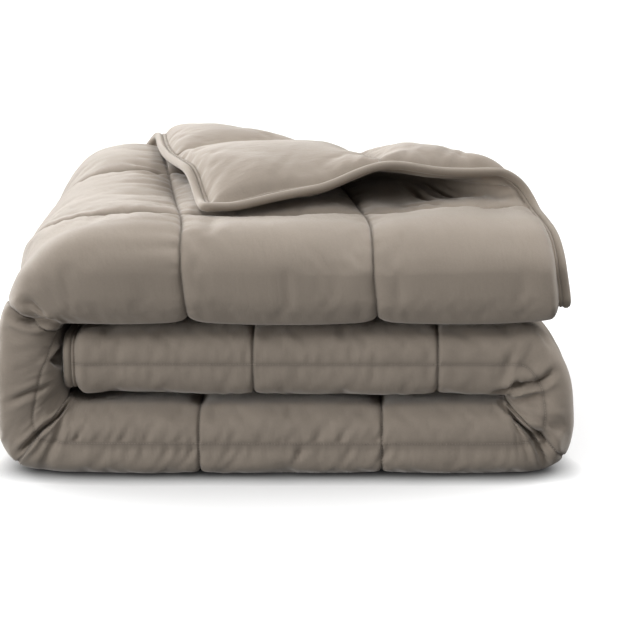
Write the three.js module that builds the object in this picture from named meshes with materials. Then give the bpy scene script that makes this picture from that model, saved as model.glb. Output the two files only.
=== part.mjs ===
// A quilted duvet, folded in three front to back and rolled in three from side to side,
// with the back right corner of its top layer turned over to the front.
// Millimetres, Z up, X to the right, Y to the back, origin on the floor under the middle.
import * as THREE from "three";

// Sewn boxes of the flat duvet: columns run along its width, rows along its length
const COLUMNS = 10;
const ROWS = 9;
const COLUMN = 240;
const ROW = 244;

// Filling: the space left between folded layers, and how the seams pinch it
const LAYER_GAP = 1.5;
const SEAM_HALF = 4.5;
const PRESSED_SEAM_HALF = 8;
const EDGE_HALF = 4;
const PUFF_POWER = 5;
const TOP_HALF = 18;
const CROWN = 14;
const SHOULDER = 12;

// Piping sewn round the whole edge
const PIPING_RADIUS = 3.8;
const PIPING_GAP = 0.8;
const PIPING_SIDES = 8;

// The top layer lies turned about a point of its seams, rises towards the back, and its
// front fold sinks in front of its last seam
const TURN = THREE.MathUtils.degToRad(8);
const TURN_COLUMN = 8;
const TURN_X = -147;
const TURN_Y = 113;
const BACK_RISE = 16;
const NOSE_DROP = 14;

// The turned corner rolls about a line on the top layer
const ROLL_X = 61;
const ROLL_Y = 354;
const ROLL_HEADING = THREE.MathUtils.degToRad(56.2);
const ROLL_RADIUS = 25;
const FLAP_LIFT = 49;
const FLAP_DROP = 31;
const FLAP_FLAT = 190;
const FLAP_LENGTH = 282;
const FLAP_BOW = 20;

// The bounding box's middle in the frame of the tables below
const CENTRE_X = -2.9;
const CENTRE_Y = 408.1;

// The folded strip from its inner end to its outer end, at columns of the duvet.
// inner and outer are the two faces in front view, front is the Y of the front fold,
// nose is the row at the front fold's middle, tuck is the Y of the tucked free edge, and
// boxOut and boxIn say how square the fold is on its outer and inner half: 2 is round.
const RIBS = [
  { column: 0.0, innerX: -287, innerZ: 108, outerX: -287, outerZ: 200, front: 20, nose: 3.0, tuck: 112, boxOut: 2.6, boxIn: 2.8 },
  { column: 1.0, innerX: -46, innerZ: 107, outerX: -46, outerZ: 204, front: 11, nose: 3.0, tuck: 108, boxOut: 2.6, boxIn: 2.8 },
  { column: 2.0, innerX: 197, innerZ: 107, outerX: 197, outerZ: 204, front: 10, nose: 3.0, tuck: 104, boxOut: 2.6, boxIn: 2.8 },
  { column: 2.27, innerX: 283, innerZ: 107, outerX: 284, outerZ: 203, front: 12, nose: 3.0, tuck: 104, boxOut: 2.6, boxIn: 2.8 },
  { column: 2.42, innerX: 288, innerZ: 106, outerX: 333, outerZ: 200, front: 14, nose: 3.0, tuck: 104, boxOut: 2.8, boxIn: 2.4 },
  { column: 2.52, innerX: 290, innerZ: 105.6, outerX: 360, outerZ: 176, front: 13, nose: 3.0, tuck: 102, boxOut: 2.8, boxIn: 2.4 },
  { column: 2.65, innerX: 290.6, innerZ: 105.2, outerX: 381, outerZ: 139, front: 9, nose: 3.0, tuck: 98, boxOut: 2.8, boxIn: 2.4 },
  { column: 2.78, innerX: 290.8, innerZ: 104.7, outerX: 388, outerZ: 97, front: 7, nose: 3.0, tuck: 96, boxOut: 2.8, boxIn: 2.4 },
  { column: 2.89, innerX: 290.6, innerZ: 104.2, outerX: 389, outerZ: 58, front: 7, nose: 3.0, tuck: 96, boxOut: 2.8, boxIn: 2.4 },
  { column: 3.0, innerX: 290, innerZ: 103.8, outerX: 379, outerZ: 18, front: 14, nose: 3.0, tuck: 104, boxOut: 2.8, boxIn: 2.4 },
  { column: 3.13, innerX: 288, innerZ: 103.4, outerX: 345, outerZ: -1, front: 8, nose: 3.0, tuck: 100, boxOut: 2.8, boxIn: 2.4 },
  { column: 3.31, innerX: 284, innerZ: 103, outerX: 296, outerZ: -3, front: 2, nose: 3.0, tuck: 94, boxOut: 4.4, boxIn: 2.6 },
  { column: 4.0, innerX: 124, innerZ: 103, outerX: 124, outerZ: -3, front: 0, nose: 3.0, tuck: 90, boxOut: 4.4, boxIn: 2.6 },
  { column: 5.0, innerX: -118, innerZ: 103, outerX: -118, outerZ: -3, front: 1, nose: 3.0, tuck: 94, boxOut: 4.4, boxIn: 2.6 },
  { column: 5.6, innerX: -258, innerZ: 103, outerX: -264, outerZ: -3, front: 3, nose: 3.0, tuck: 98, boxOut: 3.8, boxIn: 2.6 },
  { column: 5.82, innerX: -284, innerZ: 104, outerX: -326, outerZ: -3, front: 8, nose: 3.0, tuck: 104, boxOut: 2.6, boxIn: 2.6 },
  { column: 6.0, innerX: -294, innerZ: 108, outerX: -370, outerZ: 7, front: 15, nose: 3.0, tuck: 112, boxOut: 2.6, boxIn: 2.6 },
  { column: 6.15, innerX: -298, innerZ: 120, outerX: -389, outerZ: 40, front: 8, nose: 2.98, tuck: 102, boxOut: 2.6, boxIn: 2.6 },
  { column: 6.35, innerX: -299, innerZ: 136, outerX: -393, outerZ: 92, front: 3, nose: 2.95, tuck: 100, boxOut: 2.6, boxIn: 2.6 },
  { column: 6.6, innerX: -299, innerZ: 156, outerX: -392, outerZ: 142, front: 2, nose: 2.92, tuck: 102, boxOut: 2.6, boxIn: 2.6 },
  { column: 6.8, innerX: -299, innerZ: 174, outerX: -386, outerZ: 190, front: 6, nose: 2.88, tuck: 104, boxOut: 2.6, boxIn: 2.6 },
  { column: 7.0, innerX: -298, innerZ: 190, outerX: -377, outerZ: 241, front: 8, nose: 2.82, tuck: 104, boxOut: 2.6, boxIn: 2.6 },
  { column: 7.2, innerX: -294, innerZ: 203, outerX: -356, outerZ: 293, front: 0, nose: 2.72, tuck: 104, boxOut: 2.3, boxIn: 6 },
  { column: 7.45, innerX: -266, innerZ: 206, outerX: -306, outerZ: 333, front: -10, nose: 2.62, tuck: 100, boxOut: 2.3, boxIn: 6 },
  { column: 7.7, innerX: -212, innerZ: 205.5, outerX: -238, outerZ: 349, front: -16, nose: 2.57, tuck: 102, boxOut: 2.3, boxIn: 6 },
  { column: 8.0, innerX: -128, innerZ: 205.5, outerX: -149, outerZ: 357, front: -17, nose: 2.54, tuck: 106, boxOut: 2.3, boxIn: 6 },
  { column: 8.5, innerX: -4, innerZ: 205.5, outerX: -24, outerZ: 357, front: -20, nose: 2.54, tuck: 104, boxOut: 2.3, boxIn: 6 },
  { column: 9.0, innerX: 118, innerZ: 206, outerX: 100, outerZ: 356, front: -18, nose: 2.54, tuck: 100, boxOut: 2.3, boxIn: 6 },
  { column: 9.5, innerX: 241, innerZ: 205.5, outerX: 221, outerZ: 360, front: -17, nose: 2.54, tuck: 104, boxOut: 2.3, boxIn: 6 },
  { column: 10.0, innerX: 364, innerZ: 207, outerX: 337, outerZ: 357, front: -8, nose: 2.54, tuck: 112, boxOut: 2.3, boxIn: 6 },
];

// Columns at which the surface is drawn: few where it is hidden or straight
const COARSE_COLUMNS = [
  0, 0.08, 0.5, 0.92, 1, 1.08, 1.5, 1.92, 2, 2.27, 2.42, 2.65, 2.89, 3, 3.13, 3.31, 3.93, 4, 4.08, 4.5,
  4.92, 5, 5.5, 5.82, 6, 6.15, 6.5, 6.8, 7, 7.2, 7.5, 7.92, 8, 8.08, 8.5, 8.92, 9, 9.08, 9.5, 9.92, 10,
];
const FINE_COLUMNS = [
  0, 0.08, 0.5, 0.92, 1, 1.08, 1.5, 1.92, 2, 2.08, 2.27, 2.42, 2.53, 2.65, 2.78, 2.89, 2.95, 3, 3.05,
  3.13, 3.31, 3.6, 3.93, 4, 4.08, 4.3, 4.7, 4.92, 5, 5.08, 5.3, 5.7, 5.82, 5.93, 6, 6.07, 6.15, 6.35, 6.5,
  6.65, 6.8, 6.93, 7, 7.07, 7.2, 7.35, 7.5, 7.6, 7.7, 7.8, 7.92, 8, 8.08, 8.2, 8.3, 8.4, 8.5, 8.6,
  8.7, 8.8, 8.92, 9, 9.08, 9.2, 9.3, 9.4, 9.5, 9.6, 9.7, 9.8, 9.92, 10,
];

// Rows at which the surface is drawn, and the row after which the coarse columns are enough
const ROW_STATIONS = [
  0, 0.08, 0.22, 0.36, 0.5, 0.64, 0.78, 0.92, 1, 1.08, 1.22, 1.36, 1.5, 1.62, 1.72, 1.82, 1.92, 2, 2.08,
  2.2, 2.3, 2.45, 2.6, 2.75, 2.85, 2.93, 3, 3.07, 3.18, 3.3, 3.6, 4, 4.5, 5, 5.5, 5.78, 5.88,
  5.96, 6.04, 6.12, 6.2, 6.3, 6.5, 7, 7.5, 8, 8.5, 8.92, 9,
];
const LAST_FINE_ROW = 3.6;

// A smooth step from 0 at a to 1 at b
function ease(value, a, b) {
  return THREE.MathUtils.smoothstep(value, a, b);
}

// A smooth curve through one value of the ribs
function ribValue(name, column) {
  let i = 0;
  while (i < RIBS.length - 2 && column > RIBS[i + 1].column) {
    i += 1;
  }
  const slope = (k) => {
    const before = RIBS[Math.max(k - 1, 0)];
    const after = RIBS[Math.min(k + 1, RIBS.length - 1)];
    return (after[name] - before[name]) / (after.column - before.column);
  };
  const a = RIBS[i];
  const b = RIBS[i + 1];
  const span = b.column - a.column;
  const t = (column - a.column) / span;
  const t2 = t * t;
  const t3 = t2 * t;
  const start = a[name] * (2 * t3 - 3 * t2 + 1) + slope(i) * span * (t3 - 2 * t2 + t);
  const end = b[name] * (3 * t2 - 2 * t3) + slope(i + 1) * span * (t3 - t2);
  return start + end;
}

// The strip's cross-section at a column: its inner face, the way out of it and its thickness
function ribAt(column) {
  const inner = new THREE.Vector3(ribValue("innerX", column), 0, ribValue("innerZ", column));
  const outer = new THREE.Vector3(ribValue("outerX", column), 0, ribValue("outerZ", column));
  const out = outer.clone().sub(inner);
  const thick = out.length();
  out.normalize();
  const front = ribValue("front", column);
  const nose = ribValue("nose", column);
  const tuck = ribValue("tuck", column);
  const noseY = front + thick / 2;
  const halfNose = (Math.PI * thick) / 6;
  const tuckTurn = (Math.PI * thick) / 6;
  const back = ((ROWS - nose) * ROW - halfNose - tuckTurn + noseY + tuck) / 2;
  const boxOut = ribValue("boxOut", column);
  const boxIn = ribValue("boxIn", column);
  const drop = NOSE_DROP * ease(column, 6.9, 7.3);
  return { inner, out, thick, nose, noseY, halfNose, back, boxOut, boxIn, drop };
}

// The middle of the cloth in one cross-section, as a letter C: outer layer, front fold,
// inner layer, back fold, and the tucked layer between them. Row 0 is the free back edge.
// room is the share of the half thickness that fits inside the front fold's tight corners.
function foldAt(rib, row) {
  const foldRadius = rib.thick / 3;
  const tuckRadius = rib.thick / 6;
  const { noseY, halfNose } = rib;
  const along = (row - rib.nose) * ROW;
  const sunk = rib.drop * ease(row, 1.95, rib.nose - 0.2) * (1 - ease(along, -37, 29));
  const backStart = halfNose + rib.back - noseY;
  const backEnd = backStart + Math.PI * tuckRadius;
  if (along < -halfNose) {
    const height = 5 * tuckRadius - sunk;
    return { y: noseY - along - halfNose, height, normalY: 0, normalOut: 1, room: 1 - sunk / 40 };
  }
  if (along <= halfNose) {
    const turn = along / foldRadius;
    const box = turn < 0 ? rib.boxOut : rib.boxIn;
    const power = 2 / box;
    const tight = ease(box, 2, 6) * Math.sin(2 * turn) ** 2;
    const ahead = Math.pow(Math.cos(turn), power);
    const aside = Math.sign(turn) * Math.pow(Math.abs(Math.sin(turn)), power);
    const normal = new THREE.Vector2(Math.pow(Math.cos(turn), 2 - power), 0);
    normal.y = Math.sign(turn) * Math.pow(Math.abs(Math.sin(turn)), 2 - power);
    normal.normalize();
    const y = noseY - foldRadius * ahead;
    const height = rib.thick / 2 - foldRadius * aside - sunk;
    const room = (1 - 0.85 * tight) * (1 - sunk / 40);
    return { y, height, normalY: -normal.x, normalOut: -normal.y, room };
  }
  if (along < backStart) {
    return { y: noseY + along - halfNose, height: tuckRadius, normalY: 0, normalOut: -1 };
  }
  if (along <= backEnd) {
    const turn = (along - backStart) / tuckRadius;
    const y = rib.back + tuckRadius * Math.sin(turn);
    const height = 2 * tuckRadius - tuckRadius * Math.cos(turn);
    return { y, height, normalY: Math.sin(turn), normalOut: -Math.cos(turn) };
  }
  return { y: rib.back - (along - backEnd), height: rib.thick / 2, normalY: 0, normalOut: 1 };
}

// The height of the top layer's middle above the floor at a point of its plan
function deckHeight(x, y) {
  const turned = (x - TURN_X) * Math.cos(TURN) + (y - TURN_Y) * Math.sin(TURN);
  const column = THREE.MathUtils.clamp(TURN_COLUMN + turned / COLUMN, 7.2, COLUMNS);
  const rib = ribAt(column);
  return rib.inner.z + (rib.out.z * rib.thick * 5) / 6 + riseAt(y);
}

function riseAt(y) {
  return BACK_RISE * ease(y, 120, 600);
}

// Rolls the back right corner of the top layer over its line, and lays it down on the layer
function rollCorner(point, normal) {
  const across = new THREE.Vector3(Math.cos(ROLL_HEADING), Math.sin(ROLL_HEADING), 0);
  const past = (point.x - ROLL_X) * across.x + (point.y - ROLL_Y) * across.y;
  if (past <= 0) {
    return;
  }
  const footX = point.x - past * across.x;
  const footY = point.y - past * across.y;
  const base = deckHeight(footX, footY);
  const turn = past / ROLL_RADIUS;
  if (turn < Math.PI) {
    const reach = ROLL_RADIUS * Math.sin(turn);
    const height = base + ROLL_RADIUS * (1 - Math.cos(turn));
    point.set(footX + reach * across.x, footY + reach * across.y, height);
    normal.set(-Math.sin(turn) * across.x, -Math.sin(turn) * across.y, Math.cos(turn));
    return;
  }
  const length = past - Math.PI * ROLL_RADIUS;
  const bow = FLAP_BOW * Math.sin(Math.PI * Math.min(length / FLAP_LENGTH, 1));
  const sideways = ease(-(footX - ROLL_X), -40, 240);
  const x = footX - length * across.x - bow * sideways;
  const y = footY - length * across.y;
  const settle = ease(length, 0, 60);
  const lift = FLAP_LIFT - FLAP_DROP * ease(length, FLAP_FLAT, FLAP_LENGTH);
  const top = base + 2 * ROLL_RADIUS;
  point.set(x, y, top + (deckHeight(x, y) + lift - top) * settle);
  normal.set(0, 0, -1);
}

// The middle of the folded cloth and its upward side, at a column and row of the duvet
function clothAt(column, row) {
  const rib = ribAt(column);
  const fold = foldAt(rib, row);
  const point = rib.inner.clone().addScaledVector(rib.out, fold.height);
  point.y = fold.y;
  const normal = rib.out.clone().multiplyScalar(fold.normalOut);
  normal.y = fold.normalY;
  const share = ease(column, 7, 8) * (1 - ease(row, 1.9, 2.7));
  if (share > 0) {
    const awayX = point.x - TURN_X;
    const awayY = point.y - TURN_Y;
    const turn = TURN * share;
    point.x = TURN_X + awayX * Math.cos(turn) - awayY * Math.sin(turn);
    point.y = TURN_Y + awayX * Math.sin(turn) + awayY * Math.cos(turn);
    point.z += riseAt(point.y) * share;
    if (column > 7.3 && row < 2.2) {
      rollCorner(point, normal);
    }
  }
  return { point, normal, thick: rib.thick, room: fold.room ?? 1 };
}

// Half the filled thickness: full in the middle of a box, pinched at its seams and at the
// edge, and more even where the pile presses the inner layers flat
function halfThickness(column, row, thick) {
  const pressed = ease(row, 3.3, 3.6);
  const swell = (value) => {
    const part = value - Math.floor(value);
    return 1 - Math.pow(Math.abs(2 * part - 1), PUFF_POWER);
  };
  const atEdge = column === 0 || column === COLUMNS || row === 0 || row === ROWS;
  const seam = atEdge ? EDGE_HALF : SEAM_HALF + (PRESSED_SEAM_HALF - SEAM_HALF) * pressed;
  const most = TOP_HALF + (thick / 6 - TOP_HALF) * ease(row, 2, 2.6);
  const full = Math.min(thick / 6, most) - LAYER_GAP;
  return seam + (full - seam) * swell(column) * swell(row);
}

// How much higher the loose boxes on top of the pile swell than the pressed ones below
function crown(column, row, side, normal) {
  const bulge = (1 - Math.abs(2 * (column % 1) - 1) ** 3) * (1 - Math.abs(2 * (row % 1) - 1) ** 3);
  const loose = 1 - ease(row, 1.9, 2.1);
  if (side > 0) {
    return SHOULDER * bulge * loose * ease(column, 6.9, 7.2) * (1 - ease(column, 7.9, 8.1));
  }
  return CROWN * bulge * loose * ease(column, 7.5, 7.7) * ease(-normal.z, -0.2, 0.8);
}

// A surface point of the cloth on one side, never below the floor
function sidePoint(column, row, side) {
  const { point, normal, thick, room } = clothAt(column, row);
  let half = halfThickness(column, row, thick) + crown(column, row, side, normal);
  if (side < 0) {
    half *= room;
  }
  point.addScaledVector(normal, side * half);
  point.z = Math.max(point.z, 0);
  return point;
}

// Triangles between two rows of points whose stations are listed by column
function joinRows(faces, lower, upper, flip) {
  const push = (a, b, c) => {
    faces.push(...(flip ? [a, c, b] : [a, b, c]));
  };
  let i = 0;
  let j = 0;
  while (i < lower.length - 1 || j < upper.length - 1) {
    const nextLower = i < lower.length - 1 ? lower[i + 1].column : Infinity;
    const nextUpper = j < upper.length - 1 ? upper[j + 1].column : Infinity;
    if (nextLower < nextUpper) {
      push(lower[i].index, lower[i + 1].index, upper[j].index);
      i += 1;
    } else {
      push(lower[i].index, upper[j + 1].index, upper[j].index);
      j += 1;
    }
  }
}

// The filled cloth: two sides drawn from the same stations, closed by a narrow rim
function duvetGeometry() {
  const positions = [];
  const faces = [];
  const addSide = (side) => ROW_STATIONS.map((row) => {
    const columns = row <= LAST_FINE_ROW ? FINE_COLUMNS : COARSE_COLUMNS;
    return columns.map((column) => {
      const point = sidePoint(column, row, side);
      positions.push(point.x, point.y, point.z);
      return { column, index: positions.length / 3 - 1 };
    });
  });
  const outside = addSide(1);
  const inside = addSide(-1);
  for (let k = 0; k < ROW_STATIONS.length - 1; k += 1) {
    joinRows(faces, outside[k], outside[k + 1], true);
    joinRows(faces, inside[k], inside[k + 1], false);
  }
  const rim = rimStations(outside).map((station, k) => [station, rimStations(inside)[k]]);
  rim.forEach(([outer, inner], k) => {
    const [nextOuter, nextInner] = rim[(k + 1) % rim.length];
    faces.push(outer.index, nextOuter.index, inner.index);
    faces.push(inner.index, nextOuter.index, nextInner.index);
  });
  const geometry = new THREE.BufferGeometry();
  geometry.setAttribute("position", new THREE.Float32BufferAttribute(positions, 3));
  geometry.setIndex(faces);
  geometry.computeVertexNormals();
  return geometry;
}

// The stations of a grid's four edges, once round
function rimStations(grid) {
  const last = grid.length - 1;
  const first = grid[0];
  const far = grid[last];
  const right = grid.slice(1, last).map((line) => line[line.length - 1]);
  const left = grid.slice(1, last).map((line) => line[0]);
  return [...first, ...right, ...far.slice().reverse(), ...left.reverse()];
}

// The piping's centre line: just outside the edge, with the way out and the cloth's normal
function pipingStations() {
  const stations = [];
  const step = 0.02;
  const add = (column, row, outColumn, outRow) => {
    const { point, normal } = clothAt(column, row);
    const within = clothAt(column - outColumn * step, row - outRow * step).point;
    const out = point.clone().sub(within).normalize();
    out.addScaledVector(normal, -out.dot(normal)).normalize();
    const corner = outColumn !== 0 && outRow !== 0 ? Math.SQRT2 : 1;
    point.addScaledVector(out, (PIPING_RADIUS + PIPING_GAP) * corner);
    point.z = Math.max(point.z, PIPING_RADIUS + PIPING_GAP);
    stations.push({ point, out, normal, corner });
  };
  const rows = ROW_STATIONS.slice(1, -1);
  FINE_COLUMNS.forEach((column) => add(column, 0, edgeSign(column), -1));
  rows.forEach((row) => add(COLUMNS, row, 1, 0));
  COARSE_COLUMNS.slice().reverse().forEach((column) => add(column, ROWS, edgeSign(column), 1));
  rows.reverse().forEach((row) => add(0, row, -1, 0));
  return stations;
}

function edgeSign(column) {
  return column === 0 ? -1 : column === COLUMNS ? 1 : 0;
}

// A round cord along the stations, closed on itself
function pipingGeometry() {
  const stations = pipingStations();
  const positions = [];
  const faces = [];
  stations.forEach(({ point, out, normal, corner }, k) => {
    for (let side = 0; side < PIPING_SIDES; side += 1) {
      const angle = ((side + 0.5) / PIPING_SIDES) * 2 * Math.PI;
      const vertex = point.clone();
      vertex.addScaledVector(out, PIPING_RADIUS * Math.cos(angle) * corner);
      vertex.addScaledVector(normal, PIPING_RADIUS * Math.sin(angle));
      positions.push(vertex.x, vertex.y, vertex.z);
      const here = k * PIPING_SIDES + side;
      const beside = k * PIPING_SIDES + ((side + 1) % PIPING_SIDES);
      const next = (k + 1) % stations.length;
      const ahead = next * PIPING_SIDES + side;
      const aheadBeside = next * PIPING_SIDES + ((side + 1) % PIPING_SIDES);
      faces.push(here, beside, ahead);
      faces.push(beside, aheadBeside, ahead);
    }
  });
  const geometry = new THREE.BufferGeometry();
  geometry.setAttribute("position", new THREE.Float32BufferAttribute(positions, 3));
  geometry.setIndex(faces);
  geometry.computeVertexNormals();
  return geometry;
}

// Named meshes, moved so that the origin lies on the floor under the middle
const group = new THREE.Group();

function addPart(name, geometry, color, roughness) {
  const material = new THREE.MeshStandardMaterial({ color, roughness, metalness: 0 });
  const mesh = new THREE.Mesh(geometry, material);
  mesh.name = name;
  mesh.position.set(-CENTRE_X, -CENTRE_Y, 0);
  group.add(mesh);
}

addPart("duvet", duvetGeometry(), 0x9d9186, 0.9);
addPart("edge_piping", pipingGeometry(), 0x968a7f, 0.9);

export default group;
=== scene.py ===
# %% [markdown]
# # A folded duvet
# A quilted duvet is a cloth bag full of soft filling, stitched through into square boxes.
# This one is folded in three from front to back, then rolled in three from side to side, and
# the back right corner of its top layer is turned over to the front.
#
# It could be sculpted by hand, but the folds of one sheet have to agree with each other. So
# the lesson makes it as it is made: a flat bag of ten by nine boxes comes first, the flat bag
# is folded by one rule, the filling is blown in with a cloth simulation, and the stitches and
# creases come last.

# %% Open the frame
import math
from functools import partial

import bmesh
import bpy
import numpy as np
from mathutils import Matrix


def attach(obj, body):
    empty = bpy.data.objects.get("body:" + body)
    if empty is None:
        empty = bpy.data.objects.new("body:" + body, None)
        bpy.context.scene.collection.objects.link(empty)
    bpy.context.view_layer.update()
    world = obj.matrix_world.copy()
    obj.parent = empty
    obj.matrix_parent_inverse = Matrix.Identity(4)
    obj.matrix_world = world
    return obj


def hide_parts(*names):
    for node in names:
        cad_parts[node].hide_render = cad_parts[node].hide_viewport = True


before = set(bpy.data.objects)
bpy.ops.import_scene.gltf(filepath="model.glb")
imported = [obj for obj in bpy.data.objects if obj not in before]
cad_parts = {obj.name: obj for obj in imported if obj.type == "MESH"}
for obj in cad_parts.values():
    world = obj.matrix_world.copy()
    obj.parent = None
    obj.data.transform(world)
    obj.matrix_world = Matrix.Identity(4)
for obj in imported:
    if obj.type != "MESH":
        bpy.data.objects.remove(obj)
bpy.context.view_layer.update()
MM = 0.001

# %% [markdown]
# ## Camera
# The photograph looks down a little at the front folds, from just right of the middle. A
# camera two metres away with a long lens gives the same weak perspective. Here and below,
# places are in mm on the table, with Y counted from the front folds; the middle of the pile,
# which is the origin of the frame, lies at CENTRE_X, CENTRE_Y.

# %% The camera
CENTRE_X, CENTRE_Y = -2.9, 408.1
CAMERA_X, CAMERA_Y, CAMERA_Z = 42, -2086, 687
LOOKING_DOWN = math.radians(12.64)
LENS, SENSOR = 93.15, 36


def add_object(name, data):
    """A new object at the origin, linked into the scene"""
    thing = bpy.data.objects.new(name, data)
    bpy.context.scene.collection.objects.link(thing)
    return thing


camera_data = bpy.data.cameras.new("camera")
camera_data.sensor_width = SENSOR
camera_data.lens = LENS
camera = add_object("camera", camera_data)
camera.location = ((CAMERA_X - CENTRE_X) * MM, (CAMERA_Y - CENTRE_Y) * MM, CAMERA_Z * MM)
camera.rotation_euler = (math.pi / 2 - LOOKING_DOWN, 0, 0)
bpy.context.scene.camera = camera
print("the camera is", round(camera.location.length, 2), "m away")

# %% [markdown]
# ## The fold
# The cloth has two numbers for every point: its column across the width and its row along the
# length, both counted in sewn boxes. The folded strip is described by ribs. Each rib is a
# place on the roll, seen from the front: where its inner and outer faces are, how far back its
# front fold starts, at which row that fold turns, how much is tucked in, and how square the
# fold is outside and inside. A smooth curve runs through the ribs.

# %% The ribs of the folded strip
COLUMNS, ROWS = 10, 9
COLUMN, ROW = 240.0, 244.0

RIB_NAMES = ("column", "inner_x", "inner_z", "outer_x", "outer_z",
             "front", "nose", "tuck", "box_out", "box_in")
RIBS = np.array((
    (0, -287, 108, -287, 200, 20, 3, 112, 2.6, 2.8),
    (1, -46, 107, -46, 204, 11, 3, 108, 2.6, 2.8),
    (2, 197, 107, 197, 204, 10, 3, 104, 2.6, 2.8),
    (2.27, 283, 107, 284, 203, 12, 3, 104, 2.6, 2.8),
    (2.42, 288, 106, 333, 200, 14, 3, 104, 2.8, 2.4),
    (2.52, 290, 105.6, 360, 176, 13, 3, 102, 2.8, 2.4),
    (2.65, 290.6, 105.2, 381, 139, 9, 3, 98, 2.8, 2.4),
    (2.78, 290.8, 104.7, 388, 97, 7, 3, 96, 2.8, 2.4),
    (2.89, 290.6, 104.2, 389, 58, 7, 3, 96, 2.8, 2.4),
    (3, 290, 103.8, 379, 18, 7, 3, 104, 2.8, 2.4),
    (3.13, 288, 103.4, 345, -1, 8, 3, 100, 2.8, 2.4),
    (3.31, 284, 103, 296, -3, 2, 3, 94, 4.4, 2.6),
    (4, 124, 103, 124, -3, 0, 3, 90, 4.4, 2.6),
    (5, -118, 103, -118, -3, 1, 3, 94, 4.4, 2.6),
    (5.6, -258, 103, -264, -3, 3, 3, 98, 3.8, 2.6),
    (5.82, -284, 104, -326, -3, 8, 3, 104, 2.6, 2.6),
    (6, -294, 108, -370, 7, 11, 3, 112, 2.6, 2.6),
    (6.15, -298, 120, -389, 40, 8, 2.98, 102, 2.6, 2.6),
    (6.35, -299, 136, -393, 92, 3, 2.95, 100, 2.6, 2.6),
    (6.6, -299, 156, -392, 142, 2, 2.92, 102, 2.6, 2.6),
    (6.8, -299, 174, -386, 190, 6, 2.88, 104, 2.6, 2.6),
    (7, -298, 190, -377, 241, 8, 2.82, 104, 2.6, 2.6),
    (7.2, -294, 203, -356, 293, 0, 2.72, 104, 2.3, 6.0),
    (7.45, -266, 206, -306, 333, -10, 2.62, 100, 2.3, 6.0),
    (7.7, -212, 205.5, -238, 349, -16, 2.57, 102, 2.3, 6.0),
    (8, -128, 205.5, -149, 357, -17, 2.54, 106, 2.3, 6.0),
    (8.5, -4, 205.5, -24, 357, -20, 2.54, 104, 2.3, 6.0),
    (9, 118, 206, 100, 356, -18, 2.54, 100, 2.3, 6.0),
    (9.5, 241, 205.5, 221, 360, -17, 2.54, 104, 2.3, 6.0),
    (10, 364, 207, 337, 357, -8, 2.54, 112, 2.3, 6.0),
), float)


def ease(value, low, high):
    """A smooth step from 0 at low to 1 at high"""
    t = np.clip((value - low) / (high - low), 0, 1)
    return t * t * (3 - 2 * t)


def rib_value(name, column):
    """A smooth curve through one value of the ribs"""
    knots, values = RIBS[:, 0], RIBS[:, RIB_NAMES.index(name)]
    slopes = np.empty_like(values)
    slopes[1:-1] = (values[2:] - values[:-2]) / (knots[2:] - knots[:-2])
    slopes[0] = (values[1] - values[0]) / (knots[1] - knots[0])
    slopes[-1] = (values[-1] - values[-2]) / (knots[-1] - knots[-2])
    i = np.clip(np.searchsorted(knots, column) - 1, 0, len(knots) - 2)
    span = knots[i + 1] - knots[i]
    t = (column - knots[i]) / span
    start = values[i] * (2 * t**3 - 3 * t**2 + 1) + slopes[i] * span * (t**3 - 2 * t**2 + t)
    end = values[i + 1] * (3 * t**2 - 2 * t**3) + slopes[i + 1] * span * (t**3 - t**2)
    return start + end


NOSE_DROP, DROP_FROM, DROP_TO = 14, 6.9, 7.3


def rib_at(column):
    """The strip's cross-section at a column"""
    rib = {name: rib_value(name, column) for name in RIB_NAMES[1:]}
    across_x = rib["outer_x"] - rib["inner_x"]
    across_z = rib["outer_z"] - rib["inner_z"]
    thick = np.hypot(across_x, across_z)
    rib.update(thick=thick, out_x=across_x / thick, out_z=across_z / thick)
    rib["nose_y"] = rib["front"] + thick / 2
    rib["half_nose"] = math.pi * thick / 6
    turns = rib["half_nose"] + math.pi * thick / 6
    rib["back"] = ((ROWS - rib["nose"]) * ROW - turns + rib["nose_y"] + rib["tuck"]) / 2
    rib["drop"] = NOSE_DROP * ease(column, DROP_FROM, DROP_TO)
    return rib


print("the top layer is", round(float(rib_at(np.array(9.0))["thick"])), "mm thick")

# %% [markdown]
# ## From front to back
# In each cross-section the cloth lies like a letter C that bites its own tail: the outer
# layer runs from the free back edge to the front, turns round the front fold, runs back as the
# inner layer, turns round the back fold, and the last third is tucked in between.

# %% The letter C of one cross-section
SINK_STARTS, SINK_FULL, SINK_ENDS, SINK_ROOM = 1.95, 0.2, (-37, 29), 40
CORNER_SQUEEZE = 0.85


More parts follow.
